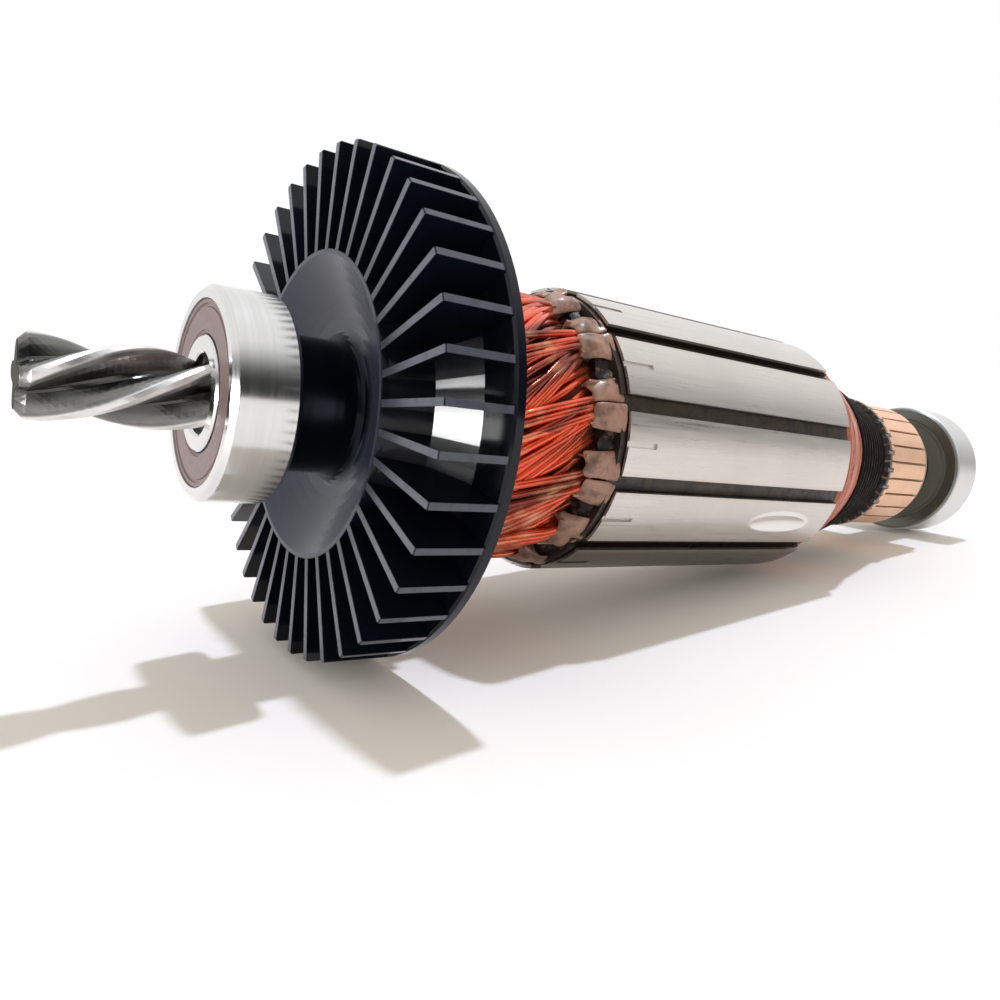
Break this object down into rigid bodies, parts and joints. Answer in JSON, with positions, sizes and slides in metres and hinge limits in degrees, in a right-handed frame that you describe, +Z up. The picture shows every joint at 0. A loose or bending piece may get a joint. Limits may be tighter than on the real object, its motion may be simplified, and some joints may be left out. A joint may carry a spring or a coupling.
{
  "type": "motor armature",
  "caption": "Armature of a power tool motor: helical pinion, sealed ball bearings, radial fan, slotted core with copper winding, and commutator on one shaft.",
  "frame": {"origin": "on the shaft axis, in the middle plane of the front bearing; the armature lies as it comes to rest, on the rear rim of the fan and the rear edge of the rear bearing", "axes": "+X horizontal from the pinion towards the commutator, along the shaft as seen from above; the shaft falls about 7.4 degrees towards +X; +Y to the left as seen from the pinion; +Z up"},
  "size_m": [0.2324, 0.081, 0.0818],
  "materials": {
    "shaft_steel": "dark, oiled steel with bright tooth crests",
    "fan_plastic": "glossy moulded plastic, edges catch the light",
    "bearing_steel": "ground and polished",
    "ball_steel": "polished",
    "cage_polymer": "satin",
    "front_seal_rubber": "matt moulded rubber",
    "rear_seal_rubber": "matt moulded rubber",
    "lamination_steel": "turned, lightly scratched along the shaft",
    "end_disc_fibre": "varnished fibre board",
    "liner_paper": "varnished insulating paper",
    "wedge_fibre": "varnished fibre strip",
    "enamelled_copper": "enamelled wire, varnished",
    "commutator_copper": "turned copper",
    "binding_cord": "varnished black cord",
    "moulding": "moulded resin",
    "tube_plastic": "extruded tube"
  },
  "bodies": {
    "rotor": {"shaft": "shaft_steel", "fan": "fan_plastic", "front_bearing_inner_ring": "bearing_steel", "rear_bearing_inner_ring": "bearing_steel", "lamination_stack": "lamination_steel", "front_end_disc": "end_disc_fibre", "rear_end_disc": "end_disc_fibre", "slot_liners": "liner_paper", "slot_wedges": "wedge_fibre", "winding": "enamelled_copper", "shaft_insulation": "tube_plastic", "binding_cord": "binding_cord", "lead_wires": "enamelled_copper", "commutator_bars": "commutator_copper", "commutator_body": "moulding"},
    "front_outer": {"front_bearing_outer_ring": "bearing_steel", "front_bearing_front_seal": "front_seal_rubber", "front_bearing_rear_seal": "front_seal_rubber"},
    "front_cage": {"front_bearing_balls": "ball_steel", "front_bearing_cage": "cage_polymer"},
    "rear_outer": {"rear_bearing_outer_ring": "bearing_steel", "rear_bearing_front_seal": "rear_seal_rubber", "rear_bearing_rear_seal": "rear_seal_rubber"},
    "rear_cage": {"rear_bearing_balls": "ball_steel", "rear_bearing_cage": "cage_polymer"}
  },
  "joints": [
    {"name": "front_outer_spin", "type": "hinge", "parent": "rotor", "child": "front_outer", "pos_m": [0, 0, 0], "axis": [0.9916, 0, -0.129], "continuous": true},
    {"name": "front_cage_spin", "type": "hinge", "parent": "rotor", "child": "front_cage", "pos_m": [0, 0, 0], "axis": [0.9916, 0, -0.129], "continuous": true},
    {"name": "rear_outer_spin", "type": "hinge", "parent": "rotor", "child": "rear_outer", "pos_m": [0.19516, 0, -0.02539], "axis": [0.9916, 0, -0.129], "continuous": true},
    {"name": "rear_cage_spin", "type": "hinge", "parent": "rotor", "child": "rear_cage", "pos_m": [0.19516, 0, -0.02539], "axis": [0.9916, 0, -0.129], "continuous": true}
  ],
  "couplings": [
    {"joint": "front_cage_spin", "follows": "front_outer_spin", "ratio": 0.63523},
    {"joint": "rear_cage_spin", "follows": "rear_outer_spin", "ratio": 0.64111}
  ]
}
